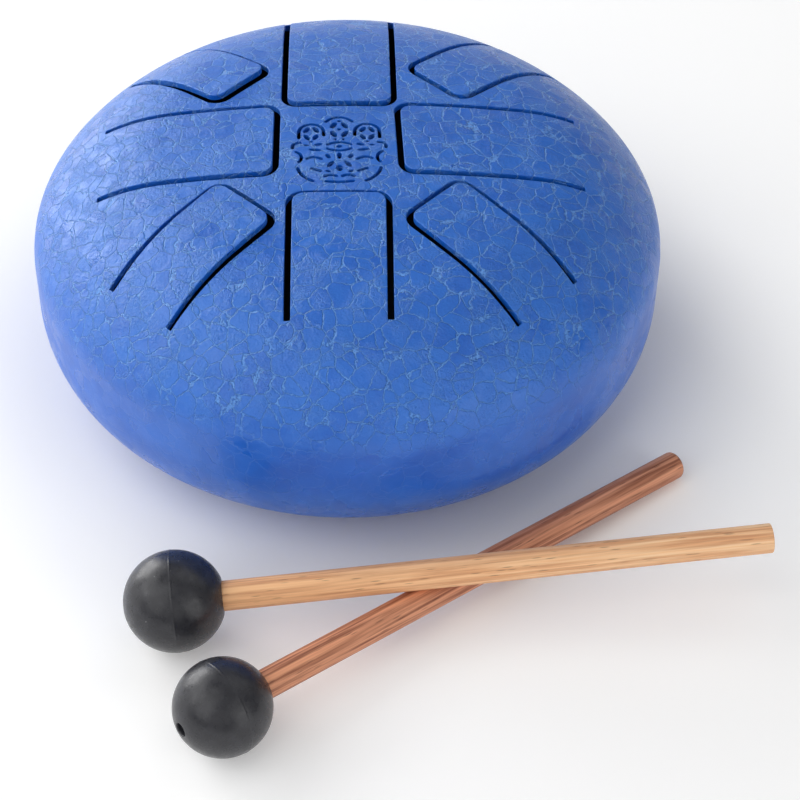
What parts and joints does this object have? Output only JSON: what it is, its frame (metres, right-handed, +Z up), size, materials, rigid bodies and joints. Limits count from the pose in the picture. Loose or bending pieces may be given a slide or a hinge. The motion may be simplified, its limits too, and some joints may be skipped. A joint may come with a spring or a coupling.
{
  "type": "steel tongue drum",
  "caption": "Small steel tongue drum: two welded shells, U-shaped tongues and a pierced open-hand ornament on top, a sound hole below, and two rubber-headed wooden mallets crossed in front.",
  "frame": {"origin": "point on the table under the drum's axis, level with the undersides of its rubber feet", "axes": "+Z up along the drum's axis; -Y to the front, where the mallets lie; +X to the player's right"},
  "size_m": [0.1679, 0.2084, 0.0645],
  "materials": {
    "blue_crackle_paint": "satin crackle paint on steel",
    "black_rubber": "matt",
    "adhesive": "foam tape",
    "mallet_rubber": "satin moulded",
    "light_wood": "sanded",
    "red_wood": "sanded"
  },
  "bodies": {
    "drum": {"upper_shell": "blue_crackle_paint", "lower_shell": "blue_crackle_paint", "equator_weld": "blue_crackle_paint", "rubber_foot_1": "black_rubber", "rubber_foot_2": "black_rubber", "rubber_foot_3": "black_rubber", "rubber_foot_4": "black_rubber", "foot_adhesive_pads": "adhesive"},
    "tongue_right": {"tongue_right": "blue_crackle_paint"},
    "tongue_back_right": {"tongue_back_right": "blue_crackle_paint"},
    "tongue_back": {"tongue_back": "blue_crackle_paint"},
    "tongue_back_left": {"tongue_back_left": "blue_crackle_paint"},
    "tongue_left": {"tongue_left": "blue_crackle_paint"},
    "tongue_front_left": {"tongue_front_left": "blue_crackle_paint"},
    "tongue_front": {"tongue_front": "blue_crackle_paint"},
    "tongue_front_right": {"tongue_front_right": "blue_crackle_paint"},
    "mallet_2": {"mallet_2_head": "mallet_rubber", "mallet_2_stick": "red_wood"},
    "mallet_1": {"mallet_1_head": "mallet_rubber", "mallet_1_stick": "light_wood"}
  },
  "joints": [
    {"name": "flex_right", "type": "hinge", "parent": "drum", "child": "tongue_right", "pos_m": [0.05448, 0.00223, 0.05658], "axis": [-0.0244, 0.9997, 0], "range_deg": [-0.6, 0.6], "stiffness_Nm_per_rad": 95},
    {"name": "flex_back_right", "type": "hinge", "parent": "drum", "child": "tongue_back_right", "pos_m": [0.04491, 0.04727, 0.04985], "axis": [-0.7034, 0.7108, 0], "range_deg": [-0.6, 0.6], "stiffness_Nm_per_rad": 84},
    {"name": "flex_back", "type": "hinge", "parent": "drum", "child": "tongue_back", "pos_m": [-0.00167, 0.06415, 0.05039], "axis": [-1, 0.0052, 0], "range_deg": [-0.6, 0.6], "stiffness_Nm_per_rad": 82},
    {"name": "flex_back_left", "type": "hinge", "parent": "drum", "child": "tongue_back_left", "pos_m": [-0.04696, 0.04427, 0.05051], "axis": [-0.6947, -0.7193, 0], "range_deg": [-0.6, 0.6], "stiffness_Nm_per_rad": 89},
    {"name": "flex_left", "type": "hinge", "parent": "drum", "child": "tongue_left", "pos_m": [-0.0577, 0.00134, 0.05497], "axis": [-0.0087, -1, 0], "range_deg": [-0.6, 0.6], "stiffness_Nm_per_rad": 98},
    {"name": "flex_front_left", "type": "hinge", "parent": "drum", "child": "tongue_front_left", "pos_m": [-0.04649, -0.04411, 0.05078], "axis": [0.7108, -0.7034, 0], "range_deg": [-0.6, 0.6], "stiffness_Nm_per_rad": 85},
    {"name": "flex_front", "type": "hinge", "parent": "drum", "child": "tongue_front", "pos_m": [-0.00248, -0.05425, 0.0567], "axis": [1, -0.0087, 0], "range_deg": [-0.6, 0.6], "stiffness_Nm_per_rad": 100},
    {"name": "flex_front_right", "type": "hinge", "parent": "drum", "child": "tongue_front_right", "pos_m": [0.04385, -0.04452, 0.05209], "axis": [0.7034, 0.7108, 0], "range_deg": [-0.6, 0.6], "stiffness_Nm_per_rad": 83},
    {"name": "lift_mallet_2", "type": "slide", "parent": "drum", "child": "mallet_2", "axis": [0, 0, 1], "range_m": [0, 0.12]},
    {"name": "lift_mallet_1", "type": "slide", "parent": "mallet_2", "child": "mallet_1", "axis": [0, 0, 1], "range_m": [0, 0.12]}
  ]
}
